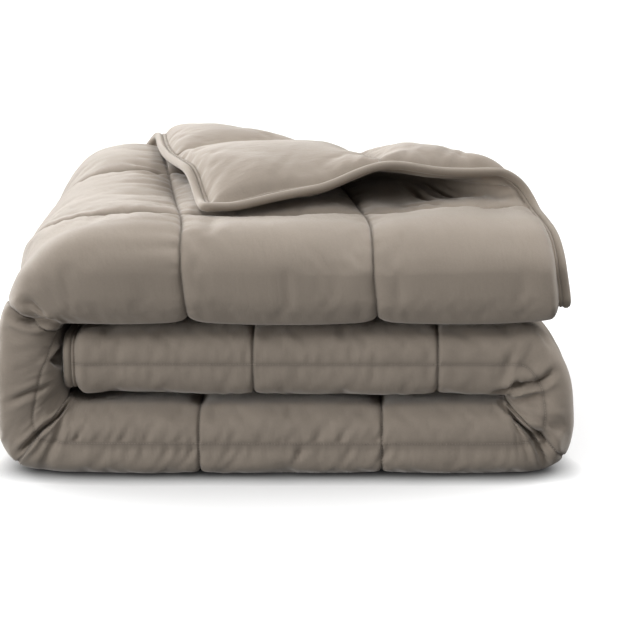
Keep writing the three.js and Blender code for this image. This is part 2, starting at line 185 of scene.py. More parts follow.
def fold_at(rib, row):
    """Where the middle of the cloth is, which way it faces, and its room in tight corners"""
    thick = rib["thick"]
    big, small = thick / 3, thick / 6
    nose_y, half_nose, back = rib["nose_y"], rib["half_nose"], rib["back"]
    along = (row - rib["nose"]) * ROW
    sunk = rib["drop"] * ease(row, SINK_STARTS, rib["nose"] - SINK_FULL) * (1 - ease(along, *SINK_ENDS))
    back_start = half_nose + back - nose_y
    back_end = back_start + math.pi * small
    turn = np.clip(along / big, -math.pi / 2, math.pi / 2)
    box = np.where(turn < 0, rib["box_out"], rib["box_in"])
    power = 2 / box
    tight = ease(box, 2, 6) * np.sin(2 * turn) ** 2
    ahead, aside, way = np.maximum(np.cos(turn), 1e-9), np.abs(np.sin(turn)), np.sign(turn)
    face_y, face_out = ahead ** (2 - power), way * aside ** (2 - power)
    size = np.hypot(face_y, face_out)
    rolled = np.clip((along - back_start) / small, 0, math.pi)
    zones = [along < -half_nose, along <= half_nose, along < back_start, along <= back_end]
    one = np.ones_like(along)
    y = np.select(zones, [nose_y - along - half_nose, nose_y - big * ahead**power,
                          nose_y + along - half_nose, back + small * np.sin(rolled)],
                  back - (along - back_end))
    height = np.select(zones, [5 * small - sunk, thick / 2 - big * way * aside**power - sunk,
                               small, 2 * small - small * np.cos(rolled)], thick / 2)
    normal_y = np.select(zones, [0 * one, -face_y / size, 0 * one, np.sin(rolled)], 0)
    normal_out = np.select(zones, [one, -face_out / size, -one, -np.cos(rolled)], 1)
    room = np.select(zones[:2], [one, 1 - CORNER_SQUEEZE * tight], 1) * (1 - sunk / SINK_ROOM)
    return y, height, normal_y, normal_out, room


# %% [markdown]
# ## The turned corner
# The top layer lies turned by eight degrees on the others. Its back right corner rolls over a
# line that crosses the layer at a slant, and the flap comes to rest on the layer in front.

# %% Rolling the corner over
TURN = math.radians(8)
TURN_COLUMN, TURN_X, TURN_Y = 8, -147, 113
TURN_COLUMNS, TURN_ROWS = (7, 8), (1.9, 2.7)
TOP_COLUMN, TOP_ROW, DECK_FROM = 7.3, 2.2, 7.2
BACK_RISE, RISE_STRETCH = 16, (120, 600)
ROLL_X, ROLL_Y = 61, 354
ROLL_HEADING = math.radians(56.2)
ROLL_RADIUS = 25
FLAP_LIFT, FLAP_DROP = 49, 31
FLAP_FLAT, FLAP_LENGTH = 190, 282
FLAP_BOW, BOW_STRETCH = 20, (-40, 240)
SHOULDER_FADE, LAY_DOWN = 60, 60
NOTCH, SAG, NOTCH_COLUMN = (1.02, 0.26), (0.56, 0.24), 9.35
NOTCH_RAISE, NOTCH_SAG = 17, 13


def rise_at(y):
    """How much the top layer rises towards the back"""
    return BACK_RISE * ease(y, *RISE_STRETCH)


def deck_height(x, y):
    """The height of the top layer's middle at a point of its plan"""
    turned = (x - TURN_X) * math.cos(TURN) + (y - TURN_Y) * math.sin(TURN)
    rib = rib_at(np.clip(TURN_COLUMN + turned / COLUMN, DECK_FROM, COLUMNS))
    return rib["inner_z"] + rib["out_z"] * rib["thick"] * 5 / 6 + rise_at(y)


def roll_corner(point, normal, where):
    """Rolls the chosen points over the line, and lays what is past it down on the layer"""
    across = np.array((math.cos(ROLL_HEADING), math.sin(ROLL_HEADING)))
    past = (point[:, 0] - ROLL_X) * across[0] + (point[:, 1] - ROLL_Y) * across[1]
    k = np.nonzero(where & (past > 0))[0]
    if not len(k):
        return
    past = past[k]
    foot = point[k, :2] - past[:, None] * across
    base = deck_height(foot[:, 0], foot[:, 1])
    own = 1 - ease(past, 0, SHOULDER_FADE)
    below = (point[k, 2] - deck_height(point[k, 0], point[k, 1])) * own
    turn = past / ROLL_RADIUS
    reach = ROLL_RADIUS * np.sin(turn)
    over = base + ROLL_RADIUS * (1 - np.cos(turn))
    rolled = np.column_stack((foot + reach[:, None] * across, over))
    rolled_normal = np.column_stack((-np.sin(turn)[:, None] * across, np.cos(turn)))
    length = past - math.pi * ROLL_RADIUS
    bow = FLAP_BOW * np.sin(math.pi * np.clip(length / FLAP_LENGTH, 0, 1))
    x = foot[:, 0] - length * across[0] - bow * ease(ROLL_X - foot[:, 0], *BOW_STRETCH)
    y = foot[:, 1] - length * across[1]
    lift = FLAP_LIFT - FLAP_DROP * ease(length, FLAP_FLAT, FLAP_LENGTH)
    top = base + 2 * ROLL_RADIUS
    laid = np.column_stack((x, y, top + (deck_height(x, y) + lift - top) * ease(length, 0, LAY_DOWN)))
    rolling = (turn < math.pi)[:, None]
    own = own[:, None]
    turned = np.where(rolling, rolled_normal, (0.0, 0.0, -1.0)) * (1 - own) + normal[k] * own
    point[k] = np.where(rolling, rolled, laid)
    point[k, 2] += below
    normal[k] = turned / np.linalg.norm(turned, axis=1)[:, None]


def on_top(column, row):
    """Whether a point belongs to the part of the top layer that can roll over"""
    return (column > TOP_COLUMN) & (row < TOP_ROW)


def hump(value, place, width):
    """A soft hump that is 1 at its place"""
    return np.exp(-(((value - place) / width) ** 2))


def cloth_at(column, row):
    """The middle of the folded cloth, the way its right side faces, and the strip's thickness"""
    rib = rib_at(column)
    y, height, normal_y, normal_out, room = fold_at(rib, row)
    point = np.column_stack((rib["inner_x"] + rib["out_x"] * height, y,
                             rib["inner_z"] + rib["out_z"] * height))
    normal = np.column_stack((rib["out_x"] * normal_out, normal_y, rib["out_z"] * normal_out))
    share = ease(column, *TURN_COLUMNS) * (1 - ease(row, *TURN_ROWS))
    away_x, away_y = point[:, 0] - TURN_X, point[:, 1] - TURN_Y
    turn = TURN * share
    point[:, 0] = TURN_X + away_x * np.cos(turn) - away_y * np.sin(turn)
    point[:, 1] = TURN_Y + away_x * np.sin(turn) + away_y * np.cos(turn)
    point[:, 2] += rise_at(point[:, 1]) * share
    roll_corner(point, normal, (share > 0) & on_top(column, row))
    notch = NOTCH_RAISE * hump(row, *NOTCH) - NOTCH_SAG * hump(row, *SAG)
    point[:, 2] += notch * ease(column, NOTCH_COLUMN, COLUMNS)
    return point, normal, rib["thick"], room


# %% [markdown]
# ## The filling
# At a seam the two cloths of the bag are sewn to each other, and between the seams the filling
# pushes them apart. A box of a pressed pile is full almost to its seam and a little domed. Along
# the edge the cloth is topstitched once more, which leaves a narrow ridge beside the piping.
# A formula says how full each place is: pressed boxes are flat, the loose ones on top and on
# the turned corner stand higher, and the seams that the folds pull on are shallow.

# %% How thick the filled cloth is
LAYER_GAP = 1.5
SEAM_HALF, FRONT_SEAM_SHARE, SEAM_REACH = 6, 0.56, 7
DOME_SHARE, DOME_POWER = 0.3, 2.4
TOP_HALF, TOP_HALF_ROWS = 18, (2, 2.6)
LOOSE_ROWS, FACES_UP, ROLL_FILL = (1.9, 2.1), (-0.2, 0.8), 0.7
RIGHT_WRAP, LEFT_WRAP = (2.3, 2.45, 3.1, 3.22), (5.85, 6.0)
RIGHT_SEAM, LEFT_SEAM, WRAP_SEAM = 3, 6, (0.08, 0.2)
SOFT_SEAM, SOFT_WRAP = 0.7, 0.85
FRONT_FREE, FRONT_SEAM, SOFT_FRONT, SOFT_WRAP_ROWS = (0.15, 0.24), (0.2, 0.4), (0.4, 0.5), (0.25, 0.45)
SOFT_SHOULDER, SOFT_COLUMNS, SOFT_ROWS, SOFT_END = 0.6, (6.6, 7.0, 7.6, 8.0), (0.3, 0.6), 2.6
CROWN, CROWN_COLUMNS = 14, (7.5, 7.7)
SHOULDER, SHOULDER_COLUMNS, SHOULDER_ROWS = 9, (6.8, 7.2, 7.8, 8.2), (2.1, 2.5)
HEAP, HEAP_COLUMNS, HEAP_ROWS = 24, (7.15, 7.7, 8.0, 8.7), (0.6, 1.6)
BACK_EDGE = (5, 90)
EDGE_HALF, RIDGE, EDGE_STITCH = 2.2, 1.9, 5.6
SWELL_ROOM, SWELL_EDGE = 5, (7, 60)
GAP_SINK, GAP_HEIGHT, GAP_REACH, GAP_DEPTH = 5, 104, 36, (60, 300)
END_SHIFT, END_STRETCH, END_HEIGHT = 6, (320, 385), (185, 240)


def near(value, place, inner, outer):
    """1 close to a place, 0 further off"""
    return 1 - ease(np.abs(value - place), inner, outer)


def stretch(value, start, full, fading, end):
    """1 over a stretch of columns or rows, easing to 0 at both its ends"""
    return ease(value, start, full) * (1 - ease(value, fading, end))


def swell(value, size, count):
    """0 at a seam or at the edge's topstitching, 1 in the middle of a box"""
    seam = np.rint(value)
    away = np.abs(value - seam) * size
    away = np.where((seam == 0) | (seam == count), np.maximum(away - EDGE_STITCH, 0), away)
    steep = 1 - np.exp(-away / SEAM_REACH)
    dome = 1 - np.clip(1 - 2 * away / size, 0, 1) ** DOME_POWER
    return (1 - DOME_SHARE) * steep + DOME_SHARE * dome


def edge_distance(column, row):
    """How far a point lies inside the cloth's edge, in mm"""
    by_column = np.minimum(column, COLUMNS - column) * COLUMN
    return np.minimum(by_column, np.minimum(row, ROWS - row) * ROW)


def facing(column, row, normal):
    """How much a point of the top layer still faces up; 0 on the turned corner"""
    return np.where(on_top(column, row), ease(normal[:, 2], *FACES_UP), 1)


def free_to_swell(column, row, side, normal):
    """1 where nothing lies on the cloth, 0 where the pile presses it"""
    nose = rib_value("nose", column)
    front = near(row, nose, *FRONT_FREE)
    wraps = np.maximum(stretch(column, *RIGHT_WRAP), ease(column, *LEFT_WRAP)) * (row < nose)
    up = facing(column, row, normal)
    flap = (column > TOP_COLUMN) * (1 - ease(row, *LOOSE_ROWS)) * (1 - up)
    return np.where(side > 0, np.maximum(front, wraps) * up, flap)


def half_thickness(column, row, thick, normal):
    """Half the filled thickness"""
    nose = rib_value("nose", column)
    inside = edge_distance(column, row)
    most = TOP_HALF + (thick / 6 - TOP_HALF) * ease(row, *TOP_HALF_ROWS)
    full = np.minimum(thick / 6, most) - LAYER_GAP
    seam = SEAM_HALF + (FRONT_SEAM_SHARE * full - SEAM_HALF) * near(row, nose, *FRONT_SEAM)
    past_edge = ease(inside, EDGE_STITCH, 3 * EDGE_STITCH)
    seam = EDGE_HALF + (seam - EDGE_HALF) * past_edge
    front_seam = SOFT_SEAM * near(row, 3, *SOFT_FRONT)
    shoulder = SOFT_SHOULDER * stretch(column, *SOFT_COLUMNS) * ease(row, *SOFT_ROWS)
    soft_row = np.maximum(front_seam, shoulder * (row < SOFT_END))
    wraps = np.maximum(near(column, RIGHT_SEAM, *WRAP_SEAM), near(column, LEFT_SEAM, *WRAP_SEAM))
    soft_column = SOFT_WRAP * wraps * near(row, nose, *SOFT_WRAP_ROWS)
    by_row = soft_row + (1 - soft_row) * swell(row, ROW, ROWS)
    by_column = soft_column + (1 - soft_column) * swell(column, COLUMN, COLUMNS)
    bent = np.where(on_top(column, row), ROLL_FILL * (1 - normal[:, 2] ** 2), 0)
    fill = by_column * by_row
    fill = fill + (1 - fill) * bent * past_edge
    ridge = RIDGE * np.sin(math.pi * np.clip(inside / EDGE_STITCH, 0, 1)) ** 2
    return seam + (full - seam) * fill + ridge


def crown(column, row, side, normal):
    """How much higher the loose boxes on top of the pile swell than the pressed ones below"""
    bulge = ((1 - np.abs(2 * (column % 1) - 1) ** 3) * (1 - np.abs(2 * (row % 1) - 1) ** 3)
             * (1 - ease(row, *LOOSE_ROWS)))
    shoulder = SHOULDER * stretch(column, *SHOULDER_COLUMNS) * (1 - ease(row, *SHOULDER_ROWS))
    heap = HEAP * stretch(column, *HEAP_COLUMNS) * (1 - ease(row, *HEAP_ROWS)) * facing(column, row, normal)
    flap = CROWN * bulge * ease(column, *CROWN_COLUMNS) * ease(-normal[:, 2], *FACES_UP)
    return np.where(side > 0, (shoulder + heap) * ease(row * ROW, *BACK_EDGE), flap)


def settle(point):
    """The weight of the pile lowers its lowest gap in front and draws the right end in a little"""
    lower = GAP_SINK * hump(point[:, 2], GAP_HEIGHT, GAP_REACH) * (1 - ease(point[:, 1], *GAP_DEPTH))
    inward = END_SHIFT * ease(point[:, 0], *END_STRETCH) * (1 - ease(point[:, 2], *END_HEIGHT))
    return point - np.column_stack((inward, 0 * lower, lower))


def surface_at(column, row, side):
    """A point of the cloth's surface on one side, in mm on the table, and the way it faces"""
    point, normal, thick, room = cloth_at(column, row)
    half = half_thickness(column, row, thick, normal) + crown(column, row, side, normal)
    half = half * np.where(side < 0, room, 1)
    free = free_to_swell(column, row, side, normal)
    spare = swell(column, COLUMN, COLUMNS) * ease(edge_distance(column, row), *SWELL_EDGE)
    half = half - SWELL_ROOM * free * spare
    return settle(point + (side * half)[:, None] * normal), normal * side[:, None], free


# %% [markdown]
# ## The flat bag
# The bag starts as two flat grids, one over the other, whose rims are bridged. Every vertex
# keeps its column, its row and its side, and the folding rule moves it to its place. The grid's
# lines crowd together at the seams, where the cloth bends most, and lie wide apart in the
# hidden layers. Side 1 is sheet 0, the outer cloth; side -1 is sheet 1, the inner one.

# %% Two grids joined round their rims
SEAM_LINES = (0, 1.2, 2.4, 4.2, 7)
EDGE_LINES = (0, 0.8, 1.7, 2.8, 4, 4.8, 5.6, 6.4, 7.6, 9.6, 12.6)
FINE_STEP = 3.8
FRONT_START, FRONT_END = 11, 110


def box_lines(size, count, end):
    """Grid lines through a row of boxes, close together at the seams and at the edge"""
    lines = [0.0]
    for box in range(count):
        left = np.array(EDGE_LINES if box == 0 else SEAM_LINES)
        right = size - np.array(EDGE_LINES if box + 1 == end else SEAM_LINES)[::-1]
        middle = np.linspace(left[-1], right[0], round((right[0] - left[-1]) / FINE_STEP) + 1)
        inner = np.concatenate((left[1:], middle[1:-1], right))
        lines.extend(box + inner / size)
    return np.array(lines)


def even_lines(zones):
    """Evenly spaced grid lines from a table of (start, end, steps per box)"""
    parts = [np.linspace(a, b, round((b - a) * steps), endpoint=False) for a, b, steps in zones]
    return np.append(np.concatenate(parts), zones[-1][1])


def points_of(mesh):
    """The vertices of a mesh, as an array"""
    flat = np.empty(len(mesh.vertices) * 3)
    mesh.vertices.foreach_get("co", flat)
    return flat.reshape(-1, 3)


def flat_bag(columns, rows):
    """A closed flat bag, and the column, row and side of each of its vertices"""
    bm = bmesh.new()
    for side in (1, -1):
        sheet = bmesh.ops.create_grid(bm, x_segments=len(columns) - 1, y_segments=len(rows) - 1, size=1)
        bmesh.ops.translate(bm, vec=(0, 0, side), verts=sheet["verts"])
    rim = [edge for edge in bm.edges if edge.is_boundary]
    bmesh.ops.bridge_loops(bm, edges=rim)
    bmesh.ops.recalc_face_normals(bm, faces=bm.faces)
    bmesh.ops.reverse_faces(bm, faces=bm.faces)
    mesh = bpy.data.meshes.new("bag")
    bm.to_mesh(mesh)
    bm.free()
    flat = points_of(mesh)
    across = np.rint((flat[:, 0] + 1) / 2 * (len(columns) - 1)).astype(int)
    along = np.rint((flat[:, 1] + 1) / 2 * (len(rows) - 1)).astype(int)
    return mesh, across, along, np.sign(flat[:, 2]).astype(int)


def set_points(mesh, point):
    """Moves a mesh to points in mm on the table, never below it, in the frame of the pile"""
    point[:, 2] = np.maximum(point[:, 2], 0)
    placed = (point - (CENTRE_X, CENTRE_Y, 0)) * MM
    mesh.vertices.foreach_set("co", placed.astype(np.float32).ravel())
    mesh.update()


FINE_COLUMNS = box_lines(COLUMN, COLUMNS, COLUMNS)
SHOWN_ROWS = box_lines(ROW, 3, ROWS)
FRONT_ROWS = 3 + np.append(SEAM_LINES, np.arange(FRONT_START, FRONT_END, FINE_STEP))[1:] / ROW
HIDDEN_ROWS = even_lines(((3.47, 5.5, 8), (5.5, 6.5, 24), (6.5, 8.9, 8)))
LAST_ROWS = ROWS - np.array(EDGE_LINES)[::-1] / ROW
FINE_ROWS = np.concatenate((SHOWN_ROWS, FRONT_ROWS, HIDDEN_ROWS, LAST_ROWS))
cover_mesh, across, along, side = flat_bag(FINE_COLUMNS, FINE_ROWS)
column, row, sheet = FINE_COLUMNS[across], FINE_ROWS[along], (1 - side) // 2
point, normal, free = surface_at(column, row, side)
print("cover:", len(cover_mesh.vertices), "points,", len(FINE_COLUMNS), "by", len(FINE_ROWS), "lines")

# %% [markdown]
# ## Blowing the filling in
# Real cloth isn't stretchy, so where filling pushes it out between two seams it has to gather.
# A formula gives the roundness but not the strain, so a coarse copy of the bag's outer part is
# pinned along its seams and blown up by Blender's cloth simulation. Only how far each point
# moved is kept, held to a few millimetres, and the fine bag is moved by the same field.

# %% The cloth simulation on a coarse bag
SIM_STEPS = 24
SIM_ROWS_END = 3.5
SIM_FRAMES = 12
SIM_CLOTH = {
    "quality": 5, "mass": 0.3, "air_damping": 2, "tension_stiffness": 8, "compression_stiffness": 8,
    "shear_stiffness": 2, "bending_stiffness": 0.4, "pin_stiffness": 1,
    "uniform_pressure_force": 4, "shrink_min": -0.03}
MOST_MOVE = 8
WRINKLE_SHARE = 0.4


def cloth_settings(modifier, pinned):
    """Light cloth under a soft pressure, with a little spare cloth and no gravity"""
    settings = modifier.settings
    for name, value in SIM_CLOTH.items():
        setattr(settings, name, value)
    settings.vertex_group_mass = pinned
    settings.use_pressure = True
    settings.effector_weights.gravity = 0
    modifier.collision_settings.use_collision = False
    modifier.point_cache.frame_end = SIM_FRAMES + 1


def smoothed(field):
    """A field without its waves of only a few grid steps"""
    kernel = np.array((1, 4, 6, 4, 1)) / 16
    for axis in (0, 1, 0, 1):
        padded = np.concatenate((field.take((0, 0), axis), field, field.take((-1, -1), axis)), axis)
        steps = field.shape[axis]
        field = sum(weight * padded.take(range(i, i + steps), axis) for i, weight in enumerate(kernel))
    return field


def blow_up():
    """How far the simulation moves the coarse bag, in mm, as one grid for each sheet"""
    columns = even_lines(((0, COLUMNS, SIM_STEPS),))
    rows = even_lines(((0, SIM_ROWS_END, SIM_STEPS),))
    mesh, across, along, side = flat_bag(columns, rows)
    column, row = columns[across], rows[along]
    start, normal, free = surface_at(column, row, side)
    set_points(mesh, start)
    bag = add_object("coarse_bag", mesh)
    at_seam = (np.abs(column - np.rint(column)) < 0.01) | (np.abs(row - np.rint(row)) < 0.01)
    held = at_seam | (free < 0.5) | (start[:, 2] < 1)
    group = bag.vertex_groups.new(name="held")
    group.add(np.nonzero(held)[0].tolist(), 1.0, "REPLACE")
    cloth_settings(bag.modifiers.new("cloth", "CLOTH"), group.name)
    for frame_number in range(1, SIM_FRAMES + 1):
        bpy.context.scene.frame_set(frame_number)
    blown = bag.evaluated_get(bpy.context.evaluated_depsgraph_get())
    moved = points_of(blown.data) / MM + (CENTRE_X, CENTRE_Y, 0) - start
    bpy.context.scene.frame_set(1)
    bpy.data.objects.remove(bag)
    length = np.linalg.norm(moved, axis=1)
    usual, most = float(length[~held].mean()), float(length.max())
    print("the cloth moves", round(usual, 1), "mm, at most", round(most, 1))
    moved *= (MOST_MOVE * np.tanh(length / MOST_MOVE) / np.maximum(length, 1e-6))[:, None]
    field = np.zeros((2, len(rows), len(columns), 3))
    field[(1 - side) // 2, along, across] = moved
    swelling = np.stack([smoothed(grid) for grid in field])
    return swelling + WRINKLE_SHARE * (field - swelling)


def carry(lines, steps, count):
    """Weights that carry values from even grid lines to finer ones, by Catmull-Rom curves"""
    place = np.clip(lines * steps, 0, count - 1)
    first = np.minimum(np.floor(place).astype(int), count - 2)
    t = place - first
    weights = np.zeros((len(lines), count))
    for offset, weight in ((-1, -t / 2 + t**2 - t**3 / 2), (0, 1 - 2.5 * t**2 + 1.5 * t**3),
                           (1, t / 2 + 2 * t**2 - 1.5 * t**3), (2, (t**3 - t**2) / 2)):
        np.add.at(weights, (np.arange(len(lines)), np.clip(first + offset, 0, count - 1)), weight)
    return weights


field = blow_up()
by_column = carry(FINE_COLUMNS, SIM_STEPS, field.shape[2])
by_row = carry(FINE_ROWS, SIM_STEPS, field.shape[1])
by_row[FINE_ROWS > SIM_ROWS_END] = 0
moves = np.einsum("vr,srcx,uc->svux", by_row, field, by_column, optimize=True)
point += moves[sheet, along, across]

# %% [markdown]
# ## Puckers
# Where a row of stitches draws up the cloth, small folds run away from it at right angles and
# fade within a few centimetres. Each seam gets its own row of them, from a smooth chain of
# random heights, and a table makes them deeper where the pile strains the cloth.

# %% Small folds along every seam and edge
SEED = 7
rng = np.random.default_rng(SEED)
SEAM_PUCKERS, EDGE_PUCKERS, PUCKER_SLANT = (2.0, 14.0, 10.0), (2.4, 24.0, 22.0), 0.25
LOW_HEIGHT, STRAIN_FADE, NEEDLE_FREE = 0.15, 0.1, 2.5
NEEDLE_DEPTH, CENTRE_NEEDLE_DEPTH, NEEDLE_WIDTH = 3.4, 1.2, 1.9

# sheet, kind of seam, which one, its stretch, depth, spacing, reach, slant, and the way if only one
OUTER, INNER = 0, 1
STRAINS = (
    (OUTER, "row", 3, 3.9, 5.8, 9, 16, 12, 0.75),
    (OUTER, "row", 3, 3.2, 4.0, 2.6, 16, 12, 0.3),
    (OUTER, "row", 3, 0.0, 2.4, 2.2, 17, 12, 0.3),
    (OUTER, "column", 8, 0.75, 2.5, 4.5, 22, 32, 0.1, -1),
    (OUTER, "column", 8, 0.9, 2.5, 2, 20, 16, 0.2, 1),
    (OUTER, "column", 9, 1.9, 2.6, 2.4, 18, 16, 0.3),
    (OUTER, "column", 7, 0.5, 2.7, 2.4, 22, 24, 0.3),
    (OUTER, "row", 1, 7.0, 8.0, 3.2, 20, 24, 0.5),
    (OUTER, "row", 2, 6.9, 8.0, 2.8, 22, 22, 0.5),
    (OUTER, "row", 2, 9.2, 10.0, 2.6, 20, 20, 0.4),
    (INNER, "column", 10, 0.0, 2.0, 6.5, 26, 40, 0.5, -1),
    (INNER, "row", 0, 8.6, 10.0, 4.2, 30, 36, 0.6, 1),
    (INNER, "row", 1, 9.3, 10.0, 4, 20, 28, 0.4),
    (OUTER, "row", 3, 3.9, 5.75, 5.5, 9, 6, 0.5),
    (OUTER, "row", 3, 3.1, 4.0, 2.6, 9, 6, 0.5),
    (OUTER, "row", 3, 0.0, 2.5, 2.4, 9, 5, 0.2),
    (OUTER, "column", 8, 0.9, 2.8, 3.6, 9, 8, 0.2),
    (OUTER, "row", 1, 6.7, 8.0, 3, 9, 8, 0.3),
    (OUTER, "row", 2, 6.7, 10.0, 3, 9, 8, 0.3),
    (OUTER, "column", 9, 1.9, 2.8, 3, 9, 7, 0.2),
    (INNER, "column", 10, 0.0, 2.0, 2.2, 10, 12, 0.3, -1),
    (INNER, "row", 0, 8.6, 10.0, 1.8, 11, 12, 0.4, 1),
)


def chain(length, reach):
    """A smooth chain of random heights, a few of them high, one about every given length"""
    steps = 2 / length
    count = int(reach * steps) + 2
    heights = rng.random(count) ** 2 * np.where(np.arange(count) % 2, 1.0, LOW_HEIGHT)
    fine = np.arange(0, reach, 1.0)
    return fine, carry(fine, steps, count) @ heights


def puckers(relief, seam_of, seam, start, end, depth, length, reach, slant, way=0):
    """Cuts troughs across one seam into the relief of one sheet"""
    mine, other, size, other_size = FINE_ROWS, FINE_COLUMNS, ROW, COLUMN
    if seam_of == "column":
        mine, other, size, other_size, relief = other, mine, other_size, size, relief.T
    away = (mine - seam) * size
    here = stretch(other, start - STRAIN_FADE, start + STRAIN_FADE, end - STRAIN_FADE, end + STRAIN_FADE)
    for direction in (-1, 1):
        places, heights = chain(length, max(COLUMNS * COLUMN, ROWS * ROW))
        close = np.nonzero((away * direction >= 0) & (np.abs(away) < 4 * reach))[0]
        if way == -direction or not len(close):
            continue
        out = np.abs(away[close])[:, None]
        fade = np.exp(-out / reach) * np.tanh(out / NEEDLE_FREE)
        trough = np.interp(other * other_size + slant * direction * out, places, heights)
        relief[close] -= depth * trough * fade * here


def needle_line(lines, size, count, centre=None):
    """How deep the narrow groove is in which the stitches lie"""
    seam = np.rint(lines)
    away = np.abs(lines - seam) * size
    depth = np.where(seam == centre, CENTRE_NEEDLE_DEPTH, NEEDLE_DEPTH)
    return np.where((seam > 0) & (seam < count), depth * hump(away, 0, NEEDLE_WIDTH), 0)


relief = np.zeros((2, len(FINE_ROWS), len(FINE_COLUMNS)))
needles = np.maximum.outer(needle_line(FINE_ROWS, ROW, ROWS, 3), needle_line(FINE_COLUMNS, COLUMN, COLUMNS))
for grid in relief:
    for seam_of, count, end in (("column", COLUMNS, ROWS), ("row", ROWS, COLUMNS)):
        for seam in range(count + 1):
            slant = rng.uniform(-PUCKER_SLANT, PUCKER_SLANT)
            usual = EDGE_PUCKERS if seam in (0, count) else SEAM_PUCKERS
            puckers(grid, seam_of, seam, -1, end + 1, *usual, slant)
    grid -= needles
for strained, *strain in STRAINS:
    puckers(relief[strained], *strain)
print("deepest pucker:", round(float(-relief.min()), 1), "mm")

# %% [markdown]
# ## Creases
# The main creases of this pile come from how it is folded: mitres where a flat layer turns up
# round the ends of the roll, and pinches where two seams are pushed together. They are listed
# in the cloth's own columns and rows, as soft troughs with a low swell beside them.
# Each has its depth, its width and its route over the outer side of the cloth.

# %% Creases from a list
CREASE_ENDS = (-0.15, 0.25, 0.8, 1.1)
SWELL_SHARE, SWELL_AWAY = 0.3, 2.4
CREASES = (
    ("right mitre", 18, 4.5, ((3.31, 3.21), (3.27, 3.16), (3.135, 3.135), (3.095, 3.10), (3.07, 3.04),
        (3.08, 2.99), (3.09, 2.95), (3.10, 2.88))),
    ("right pocket", 16, 7, ((3.05, 3.03), (2.995, 2.995), (3.03, 2.965), (3.055, 2.945))),
    ("right hollow", 12, 15, ((2.72, 3.11), (2.69, 3.05), (2.66, 3.0))),
    ("right lower boundary", 14, 5, ((2.25, 3.13), (2.34, 3.11), (2.485, 3.08), (2.53, 3.045),
        (2.57, 3.02), (2.59, 2.99))),
    ("right tip", 9, 5, ((2.57, 3.02), (2.59, 2.995), (2.585, 2.97), (2.59, 2.93))),
    ("right side", 2.5, 7, ((2.905, 2.995), (2.86, 2.915))),
    ("right upper line", 2.5, 4, ((2.42, 2.82), (2.45, 2.845), (2.47, 2.86), (2.495, 2.86))),
    ("middle wrinkle", 3.5, 6, ((2.32, 2.955), (2.285, 3.015), (2.24, 3.085))),
    ("left mitre", 12, 4.5, ((5.90, 3.22), (5.925, 3.18), (5.95, 3.12), (6.01, 3.035), (6.02, 2.97),
        (6.03, 2.88))),
    ("left gap", 11, 7, ((6.71, 3.225), (6.715, 3.09), (6.66, 3.07), (6.58, 3.12), (6.41, 3.245))),
    ("left second", 5, 6, ((5.89, 3.11), (5.84, 3.01), (5.845, 2.965), (5.85, 2.875))),
    ("left upper", 16, 6, ((6.975, 2.775), (6.97, 2.805), (6.98, 2.825), (7.025, 2.83), (7.085, 2.835),
        (7.185, 2.845))),
    ("left corner high", 8, 5, ((7.12, 2.73), (7.09, 2.76), (7.075, 2.79), (7.075, 2.80))),
    ("left corner low", 8, 5, ((7.155, 2.735), (7.14, 2.76), (7.13, 2.80))),
    ("left wrinkle", 7, 6, ((6.39, 2.90), (6.39, 2.97), (6.335, 3.055))),
    ("hollow under the corner", 13, 38, ((9.12, 1.86), (9.42, 1.74), (9.62, 1.66), (9.80, 1.70))),
    ("wrinkle under the corner", 6, 5, ((9.335, 1.50), (9.40, 1.68), (9.47, 1.80), (9.58, 1.86))),
    ("second wrinkle there", 6, 5, ((9.47, 1.46), (9.55, 1.60), (9.64, 1.72), (9.76, 1.78))),
    ("third wrinkle there", 5, 5, ((9.24, 1.88), (9.36, 1.87), (9.46, 1.95))),
    ("pinch at the turned corner", 6, 6, ((7.84, 1.04), (7.92, 1.02), (8.0, 1.0))),
    ("pinch above it", 5, 6, ((7.82, 0.90), (7.91, 0.93), (7.99, 0.97))),
    ("pinch below it", 5, 6, ((7.86, 1.13), (7.93, 1.09), (7.99, 1.02))),
)


def line_distance(across, along, route):
    """Distance in mm of grid points from a line of a few points, and how near its ends they are"""
    nearest, place = np.full(across.shape, 1e9), np.zeros(across.shape)
    done = 0.0
    total = sum(math.dist(a, b) for a, b in zip(route[:-1], route[1:]))
    for a, b in zip(route[:-1], route[1:]):
        step = np.subtract(b, a)
        length = math.hypot(*step)
        t = np.clip(((across - a[0]) * step[0] + (along - a[1]) * step[1]) / length**2, 0, 1)
        away = np.hypot(across - a[0] - t * step[0], along - a[1] - t * step[1])
        closer = away < nearest
        nearest = np.where(closer, away, nearest)
        place = np.where(closer, (done + t * length) / total, place)
        done += length
    return nearest, place


across_mm, along_mm = np.meshgrid(FINE_COLUMNS * COLUMN, FINE_ROWS * ROW)
for _, depth, width, route in CREASES:
    places = [(c * COLUMN, r * ROW) for c, r in route]
    away, place = line_distance(across_mm, along_mm, places)
    strength = depth * stretch(place, *CREASE_ENDS)
    relief[OUTER] -= strength * hump(away, 0, width)
    relief[OUTER] += SWELL_SHARE * strength * hump(away, SWELL_AWAY * width, width)
print(len(CREASES), "creases, the deepest", max(crease[1] for crease in CREASES), "mm")

# %% [markdown]
# ## Slack
# No box is filled quite like its neighbour. Two layers of smooth random heights, one as wide as
# a hand and one as wide as two fingers, keep the cloth from looking machined.

# %% Unevenness of the filling
SLACK = ((70, 1.6), (26, 0.5))
SEAM_HOLD = 12


def heights(size):
    """A smooth random grid over the cloth, from -1 to 1"""
    columns = int(COLUMNS * COLUMN / size) + 3
    rows = int(ROWS * ROW / size) + 3
    values = rng.uniform(-1, 1, (rows, columns))
    return carry(FINE_ROWS, ROW / size, rows) @ values @ carry(FINE_COLUMNS, COLUMN / size, columns).T


def seam_free(lines, size):
    """0 on a seam, 1 well away from it"""
    return 1 - np.exp(-np.abs(lines - np.rint(lines)) * size / SEAM_HOLD)


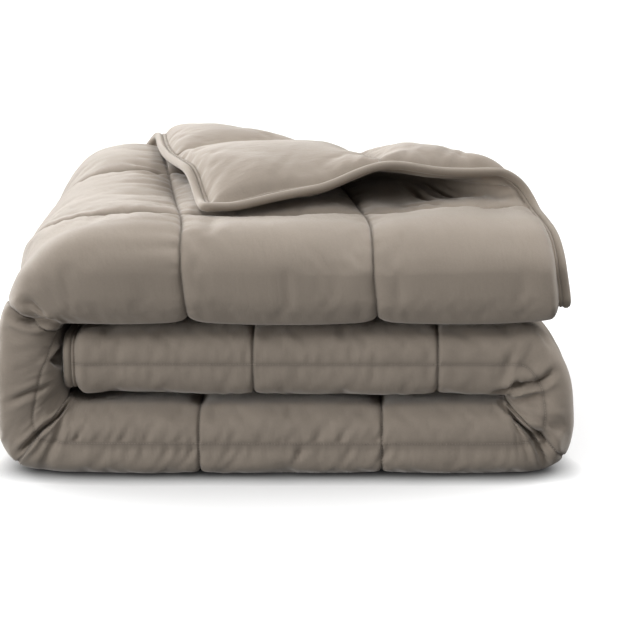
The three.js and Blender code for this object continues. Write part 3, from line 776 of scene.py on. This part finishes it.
away_from_seams = np.outer(seam_free(FINE_ROWS, ROW), seam_free(FINE_COLUMNS, COLUMN))
for grid in relief:
    for size, height in SLACK:
        grid += height * heights(size) * away_from_seams
print("the relief goes from", round(float(relief.min()), 1), "to", round(float(relief.max()), 1), "mm")

# %% [markdown]
# ## The relief on the bag
# Puckers, creases and slack move each point in or out along the way it faces. Where the pile
# presses the cloth flat only a little of them is left, and the sewn edge itself stays put.

# %% Move the fine bag to its final shape
PRESSED_SHARE = 0.15
EDGE_HOLD = (3, 9)

amount = relief[sheet, along, across] * (PRESSED_SHARE + (1 - PRESSED_SHARE) * free)
amount *= ease(edge_distance(column, row), *EDGE_HOLD)
point += amount[:, None] * normal
set_points(cover_mesh, point)
cover_mesh.polygons.foreach_set("use_smooth", [True] * len(cover_mesh.polygons))
cover = add_object("quilted_cover", cover_mesh)
print("the relief moves a point by", round(float(np.abs(amount).max()), 1), "mm at most")

# %% [markdown]
# ## A map of the flat cloth
# Weave and seams follow the cloth, not the room, so the cover gets a UV map that is the flat
# cloth itself: one unit of the map is five metres, and the two sides lie beside each other.

# %% The cover's UV map
MAP_SIZE = 5000.0
UNDERSIDE_AT = 11 * COLUMN / MAP_SIZE


def map_cloth(mesh, column, row, side):
    """Gives every corner of every face its place on the flat cloth"""
    corner = np.empty(len(mesh.loops), dtype=np.int32)
    mesh.loops.foreach_get("vertex_index", corner)
    starts = np.empty(len(mesh.polygons), dtype=np.int32)
    mesh.polygons.foreach_get("loop_start", starts)
    under = side[corner] < 0
    all_under = np.repeat(np.logical_and.reduceat(under, starts), np.diff(np.append(starts, len(corner))))
    u = column[corner] * COLUMN / MAP_SIZE + np.where(all_under, UNDERSIDE_AT, 0)
    v = row[corner] * ROW / MAP_SIZE
    layer = mesh.uv_layers.new(name="cloth")
    layer.data.foreach_set("uv", np.column_stack((u, v)).astype(np.float32).ravel())


map_cloth(cover_mesh, column, row, side)
print("the map is", round(COLUMNS * COLUMN / MAP_SIZE, 3), "by", round(ROWS * ROW / MAP_SIZE, 3))

# %% [markdown]
# ## Piping
# The edge of a real duvet is closed with a strip of the same cloth, folded round a thin cord.
# A curve with a round bevel follows the folded edge just outside it, and becomes a mesh. The
# way out of the cloth is found from a point a little further inside.

# %% The piping
BAND_RADIUS, BAND_OUT, BAND_ABOVE = 6.0, 4.6, 0.5
POINTS_ACROSS, POINTS_ALONG, PROBE = 480, 440, 0.02


def edge_path():
    """Points just outside the cloth's edge, once round"""
    rim = []
    corners = ((0, 0), (COLUMNS, 0), (COLUMNS, ROWS), (0, ROWS))
    for (column, row), corner in zip(corners, corners[1:] + corners[:1]):
        columns, rows = corner[0] - column, corner[1] - row
        count = POINTS_ACROSS if columns else POINTS_ALONG
        t = np.arange(count) / count
        u, v = column + columns * t, row + rows * t
        here, normal, _, _ = cloth_at(u, v)
        out = here - cloth_at(u - np.sign(rows) * PROBE, v + np.sign(columns) * PROBE)[0]
        out -= (out * normal).sum(1)[:, None] * normal
        out /= np.linalg.norm(out, axis=1)[:, None]
        rim.append(settle(here + out * BAND_OUT))
    return np.concatenate(rim)


path = edge_path()
path[:, 2] = np.maximum(path[:, 2], BAND_RADIUS + BAND_ABOVE)
curve = bpy.data.curves.new("edge_band", "CURVE")
curve.dimensions = "3D"
curve.bevel_depth = BAND_RADIUS * MM
curve.bevel_resolution = 3
spline = curve.splines.new("POLY")
spline.points.add(len(path) - 1)
placed = np.column_stack(((path - (CENTRE_X, CENTRE_Y, 0)) * MM, np.ones(len(path))))
spline.points.foreach_set("co", placed.ravel())
spline.use_cyclic_u = True
spline.use_smooth = True
band_curve = add_object("edge_band_curve", curve)
band_mesh = bpy.data.meshes.new_from_object(band_curve)
bpy.data.objects.remove(band_curve)
band = add_object("edge_band", band_mesh)
print("band:", len(band_mesh.vertices), "points")

# %% [markdown]
# ## Stitches
# Every seam is sewn with a thread of the cover's colour. Each visible stitch is a small spindle
# that lies in the groove of its seam; they are laid along the lines of the cover's own grid.

# %% Stitches along the seams that show
STITCH_PITCH, STITCH_LENGTH, STITCH_THICK, STITCH_PROUD = 3.8, 2.9, 0.95, 0.25
SHOWS, ABOVE_TABLE = 0.6, 4

cover_points = points_of(cover_mesh)
vertex_at = np.zeros(relief.shape, dtype=int)
vertex_at[sheet, along, across] = np.arange(len(cover_points))


def seam_lines():
    """The grid lines that are sewn, as rows of vertices"""
    for grid in vertex_at:
        for lines, size, count, across_lines in ((FINE_COLUMNS, COLUMN, COLUMNS, grid.T),
                                                 (FINE_ROWS, ROW, ROWS, grid)):
            for seam in (*range(1, count), EDGE_STITCH / size, count - EDGE_STITCH / size):
                yield across_lines[np.argmin(np.abs(lines - seam))]


def stitch_places(line):
    """Where stitches lie along a row of vertices: place, way along and way out, where it shows"""
    here = cover_points[line]
    steps = np.linalg.norm(np.diff(here, axis=0), axis=1)
    travelled = np.append(0, np.cumsum(steps))
    at = np.arange(STITCH_PITCH, travelled[-1] / MM - STITCH_PITCH, STITCH_PITCH) * MM
    shown = at[np.interp(at, travelled, free[line]) > SHOWS]
    way = np.gradient(here, travelled, axis=0)
    return [np.column_stack([np.interp(shown, travelled, values[:, i]) for i in range(3)])
            for values in (here, way, normal[line])]


def one_stitch():
    """The points and faces of a small spindle along X"""
    bm = bmesh.new()
    bmesh.ops.create_uvsphere(bm, u_segments=6, v_segments=4, radius=0.5)
    bmesh.ops.rotate(bm, verts=bm.verts, matrix=Matrix.Rotation(math.pi / 2, 3, "Y"))
    bmesh.ops.scale(bm, verts=bm.verts, vec=(STITCH_LENGTH, STITCH_THICK, STITCH_THICK))
    points = np.array([vert.co for vert in bm.verts]) * MM
    faces = [[vert.index for vert in face.verts] for face in bm.faces]
    bm.free()
    return points, faces


def unit(vectors):
    """Vectors of the same direction, one long"""
    return vectors / np.linalg.norm(vectors, axis=1)[:, None]


rows_of_stitches = [stitch_places(line) for line in seam_lines()]
place, way, out = (np.concatenate(parts) for parts in zip(*rows_of_stitches))
above_table = place[:, 2] > ABOVE_TABLE * MM
place, way, out = place[above_table], unit(way[above_table]), unit(out[above_table])
beside = unit(np.cross(out, way))
out = np.cross(way, beside)
place = place + out * STITCH_PROUD * MM
spindle, spindle_faces = one_stitch()
copies = (place[:, None, :] + spindle[None, :, :1] * way[:, None, :]
          + spindle[None, :, 1:2] * beside[:, None, :] + spindle[None, :, 2:] * out[:, None, :])
stitch_mesh = bpy.data.meshes.new("stitches")
stitch_mesh.from_pydata(copies.reshape(-1, 3), [], [[i + n * len(spindle) for i in face]
                                                    for n in range(len(place)) for face in spindle_faces])
stitch_mesh.polygons.foreach_set("use_smooth", [True] * len(stitch_mesh.polygons))
stitches = add_object("stitches", stitch_mesh)
print("stitches:", len(place), "of", len(spindle_faces), "faces")

# %% [markdown]
# ## The cloth's finish
# Brushed microfibre is matt and a little velvety: it brightens where it is seen edge on, and its
# short nap lies one way here and another way there. The nap is on the cover, the piping and the
# thread, so it is a node group that all three materials use.

# %% A node group for the nap
COLOR, NUMBER = "NodeSocketColor", "NodeSocketFloat"
PATCHES, SPECKLES = (14, 3, 0.5), (420, 2, 0.7)
SPECKLE_SHADE, SPECKLE_ROUGHNESS, NAP_HEIGHT = 0.16, 0.2, 0.00012


def new_group(name, inputs, outputs):
    """An empty shader node group with named inputs (name, kind, value) and outputs"""
    group = bpy.data.node_groups.new(name, "ShaderNodeTree")
    for title, kind, value in inputs:
        socket = group.interface.new_socket(title, in_out="INPUT", socket_type=kind)
        socket.default_value = value
    for title, kind in outputs:
        group.interface.new_socket(title, in_out="OUTPUT", socket_type=kind)
    given, result = group.nodes.new("NodeGroupInput"), group.nodes.new("NodeGroupOutput")
    return group, given.outputs, result.inputs


def fill_in(tree, node, inputs):
    """Gives inputs of a node their values, or links them where the value is a socket"""
    for title, value in inputs.items():
        if isinstance(value, bpy.types.NodeSocket):
            tree.links.new(value, node.inputs[title])
        else:
            node.inputs[title].default_value = value


def add_node(tree, kind, inputs, **settings):
    """A new node with its settings and inputs; returns its outputs"""
    node = tree.nodes.new("ShaderNode" + kind)
    for name, value in settings.items():
        setattr(node, name, value)
    fill_in(tree, node, inputs)
    return node.outputs


def math_node(tree, operation, a, b=0.0):
    """One step of arithmetic; a and b are numbers or sockets"""
    return add_node(tree, "Math", {0: a, 1: b}, operation=operation)[0]


def shaded(tree, color, factor):
    """A colour made lighter or darker by a factor"""
    return add_node(tree, "VectorMath", {0: color, "Scale": factor}, operation="SCALE")[0]


def noise(tree, place, scale, detail, rough):
    """A cloudy pattern from 0 to 1"""
    inputs = {"Vector": place, "Scale": scale, "Detail": detail, "Roughness": rough}
    return add_node(tree, "TexNoise", inputs)["Fac"]


nap_group, given, result = new_group(
    "brushed_nap",
    (("Color", COLOR, (0.3, 0.25, 0.2, 1)), ("Patchiness", NUMBER, 0.1), ("Roughness", NUMBER, 0.8)),
    (("Color", COLOR), ("Roughness", NUMBER), ("Height", NUMBER)))
link, step = nap_group.links.new, partial(math_node, nap_group)
object_space = add_node(nap_group, "TexCoord", {})["Object"]
patches = noise(nap_group, object_space, *PATCHES)
speckle = noise(nap_group, object_space, *SPECKLES)
shift = step("MULTIPLY", step("SUBTRACT", patches, 0.5), given["Patchiness"])
fine_shift = step("MULTIPLY", step("SUBTRACT", speckle, 0.5), SPECKLE_SHADE)
brightness = step("ADD", step("ADD", shift, fine_shift), 1.0)
link(shaded(nap_group, given["Color"], brightness), result["Color"])
rougher = step("MULTIPLY", step("SUBTRACT", speckle, 0.5), SPECKLE_ROUGHNESS)
link(step("ADD", given["Roughness"], rougher), result["Roughness"])
link(step("MULTIPLY", speckle, NAP_HEIGHT), result["Height"])
print("group", nap_group.name, "has", len(nap_group.nodes), "nodes")

# %% [markdown]
# ## The weave
# Under the nap the cover is a plain weave: threads go over and under each other like two waves
# multiplied. The shell is lighter than its filling and never lies quite smooth, so the same
# group adds fine wrinkles, and shades them a little. It follows the map of the flat cloth.

# %% A node group for the weave and the small wrinkles of the shell
THREAD_HEIGHT = 0.00004
WRINKLES, WRINKLE_STRETCH = (45, 3, 0.55), (1.0, 0.45, 1)
WRINKLE_LIFT, WRINKLE_SHADE, WRINKLE_BASE = 4.0, 0.12, 0.97


def cloth_place(tree, scale, shift=0.0):
    """A place on the map of the flat cloth, scaled and shifted, and its two axes"""
    flat = add_node(tree, "UVMap", {}, uv_map="cloth")["UV"]
    inputs = {"Vector": flat, "Location": (shift, shift, 0), "Scale": (*scale, 1)}
    placed = add_node(tree, "Mapping", inputs)["Vector"]
    axes = add_node(tree, "SeparateXYZ", {"Vector": placed})
    return placed, axes["X"], axes["Y"]


weave_group, given, result = new_group(
    "woven_shell",
    (("Threads per metre", NUMBER, 1400.0), ("Wrinkles", NUMBER, 0.0004)),
    (("Height", NUMBER), ("Shade", NUMBER)))
link, step = weave_group.links.new, partial(math_node, weave_group)
metres, across_cloth, along_cloth = cloth_place(weave_group, (MAP_SIZE * MM, MAP_SIZE * MM))
turns = step("MULTIPLY", given["Threads per metre"], math.pi)
warp = step("SINE", step("MULTIPLY", across_cloth, turns))
weft = step("SINE", step("MULTIPLY", along_cloth, turns))
threads = step("MULTIPLY", step("MULTIPLY", warp, weft), THREAD_HEIGHT)
stretched = add_node(weave_group, "Mapping", {"Vector": metres, "Scale": WRINKLE_STRETCH})["Vector"]
folds = noise(weave_group, stretched, *WRINKLES)
ridged = step("ABSOLUTE", step("SUBTRACT", folds, 0.5))
wrinkles = step("MULTIPLY", step("MULTIPLY", ridged, given["Wrinkles"]), WRINKLE_LIFT)
link(step("ADD", threads, wrinkles), result["Height"])
link(step("ADD", step("MULTIPLY", ridged, WRINKLE_SHADE), WRINKLE_BASE), result["Shade"])
print("group", weave_group.name, "has", len(weave_group.nodes), "nodes")

# %% [markdown]
# ## The grooves
# A seam is darker than the cloth beside it, because little light reaches down to the thread.
# The seams that run over the folds are pulled in harder than the ones that lie along them, so
# the group has a share for those. It measures from the nearest seam of the flat cloth.

# %% A node group for the stitched grooves
GROOVE_HEIGHT = -0.0003

groove_group, given, result = new_group(
    "stitched_groove",
    (("Width", NUMBER, 0.0015), ("Darkness", NUMBER, 0.6), ("Row share", NUMBER, 0.45)),
    (("Shade", NUMBER), ("Height", NUMBER)))
link, step = groove_group.links.new, partial(math_node, groove_group)
_, across_boxes, along_boxes = cloth_place(groove_group, (MAP_SIZE / COLUMN, MAP_SIZE / ROW), 0.5)


def groove(boxes, size):
    """1 on a seam, falling to 0 within a few widths beside it"""
    from_seam = step("ABSOLUTE", step("SUBTRACT", step("FRACT", boxes), 0.5))
    widths_away = step("DIVIDE", step("MULTIPLY", from_seam, size * MM), given["Width"])
    return step("EXPONENT", step("MULTIPLY", widths_away, -1.0))


along_rows = step("MULTIPLY", groove(along_boxes, ROW), given["Row share"])
depth = step("MAXIMUM", groove(across_boxes, COLUMN), along_rows)
link(step("SUBTRACT", 1.0, step("MULTIPLY", depth, given["Darkness"])), result["Shade"])
link(step("MULTIPLY", depth, GROOVE_HEIGHT), result["Height"])
print("group", groove_group.name, "has", len(groove_group.nodes), "nodes")

# %% [markdown]
# ## The materials
# Cover, piping and thread are one kind of cloth in three tones. Only the cover has a map of the
# flat cloth, so only it gets weave and grooves; the velvety rim is the shader's own sheen.

# %% Materials from the groups
SHEEN = {"Sheen Roughness": 0.45, "Sheen Tint": (1, 0.97, 0.94, 1), "Specular IOR Level": 0.25}


def cloth_material(name, color, patchiness, roughness, sheen, patterns):
    """A brushed cloth; the patterns are groups with a shade and a height of their own"""
    material = bpy.data.materials.new(name)
    material.use_nodes = True
    tree = material.node_tree
    inputs = {"Color": (*color, 1), "Patchiness": patchiness, "Roughness": roughness}
    nap = add_node(tree, "Group", inputs, node_tree=nap_group)
    tone, height = nap["Color"], nap["Height"]
    for group in patterns:
        pattern = add_node(tree, "Group", {}, node_tree=group)
        tone = shaded(tree, tone, pattern["Shade"])
        height = math_node(tree, "ADD", height, pattern["Height"])
    bump = add_node(tree, "Bump", {"Distance": 1.0, "Height": height})
    fill_in(tree, tree.nodes["Principled BSDF"], {
        "Base Color": tone, "Roughness": nap["Roughness"], "Normal": bump["Normal"],
        "Sheen Weight": sheen, **SHEEN})
    return material


TAUPE = (0.305, 0.258, 0.212)
PIPING_TAUPE = (0.285, 0.242, 0.198)
THREAD_TAUPE = (0.33, 0.285, 0.24)
band_mesh.materials.clear()
# mesh, name, colour, patchiness, roughness, sheen, patterns
MATERIALS = (
    (cover_mesh, "brushed_cover", TAUPE, 0.16, 0.8, 0.45, (weave_group, groove_group)),
    (band_mesh, "edge_cloth", PIPING_TAUPE, 0.2, 0.8, 0.45, ()),
    (stitch_mesh, "sewing_thread", THREAD_TAUPE, 0.1, 0.6, 0.2, ()),
)
for mesh, *look in MATERIALS:
    material = cloth_material(*look)
    mesh.materials.append(material)
    print(material.name, "has", len(material.node_tree.nodes), "nodes")

# %% [markdown]
# ## Floor and light
# The photograph is taken on white: a bright floor, one soft window at the left, and light from
# all round. The floor glows a little, and a contact shadow is painted into its colour close
# under the cloth. What it throws back on the cloth is set apart from how bright it looks, so
# that the gaps between the layers stay dark.

# %% Floor and light
FLOOR_SIZE, FLOOR_ROUGHNESS = 60, 0.9
FLOOR_GLOW, FLOOR_BOUNCE = 0.6, 0.46
CONTACT_SHADOW_REACH, CONTACT_SHADOW_TONE = 0.036, (0.63, 0.63, 0.63, 1)
SKY = 0.1

bm = bmesh.new()
bmesh.ops.create_grid(bm, x_segments=1, y_segments=1, size=FLOOR_SIZE)
floor_mesh = bpy.data.meshes.new("floor")
bm.to_mesh(floor_mesh)
bm.free()
floor = add_object("floor", floor_mesh)
floor_material = bpy.data.materials.new("pale_floor")
floor_material.use_nodes = True
tree = floor_material.node_tree
# painted contact shadow: the floor's colour, glow and bounce are darkened close under the cloth
contact = {"Distance": CONTACT_SHADOW_REACH, "Color": CONTACT_SHADOW_TONE}
painted_contact_shadow = add_node(tree, "AmbientOcclusion", contact)["Color"]
seen = tree.nodes["Principled BSDF"]
fill_in(tree, seen, {"Base Color": painted_contact_shadow, "Roughness": FLOOR_ROUGHNESS,
                     "Emission Color": painted_contact_shadow, "Emission Strength": FLOOR_GLOW})
felt = add_node(tree, "Emission", {"Color": painted_contact_shadow, "Strength": FLOOR_BOUNCE})["Emission"]
bounced = add_node(tree, "LightPath", {})["Is Diffuse Ray"]
both = add_node(tree, "MixShader", {"Fac": bounced, 1: seen.outputs["BSDF"], 2: felt})["Shader"]
fill_in(tree, tree.nodes["Material Output"], {"Surface": both})
floor_mesh.materials.append(floor_material)
floor.visible_glossy = False

world = bpy.data.worlds.new("studio")
world.use_nodes = True
fill_in(world.node_tree, world.node_tree.nodes["Background"], {"Color": (1, 1, 1, 1), "Strength": SKY})
bpy.context.scene.world = world
bpy.context.scene.view_settings.view_transform = "Standard"

LIGHTS = (
    ("window left", (-0.5, 0.15, 0.85), 1.1, 40),
    ("left front", (-0.9, -0.6, 0.15), 1.3, 18),
    ("left side", (-0.8, 0.7, 0.15), 5.0, 40),
    ("right back", (0.7, 0.3, 0.8), 2.7, 40),
    ("front above", (-0.1, -0.8, 1.0), 1.1, 35),
)
for name, direction, energy, angle in LIGHTS:
    light_data = bpy.data.lights.new(name, "SUN")
    light_data.energy = energy
    light_data.angle = math.radians(angle)
    light = add_object(name, light_data)
    x, y, z = np.array(direction) / np.linalg.norm(direction)
    light.rotation_euler = (math.acos(z), 0, math.atan2(y, x) + math.pi / 2)
print(len(LIGHTS), "suns, the strongest", max(energy for _, _, energy, _ in LIGHTS))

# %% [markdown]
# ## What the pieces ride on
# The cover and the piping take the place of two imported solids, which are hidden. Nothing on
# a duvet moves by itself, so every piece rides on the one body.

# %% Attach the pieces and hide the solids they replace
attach(cover, "root")
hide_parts("duvet")
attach(band, "root")
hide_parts("edge_piping")
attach(stitches, "root")
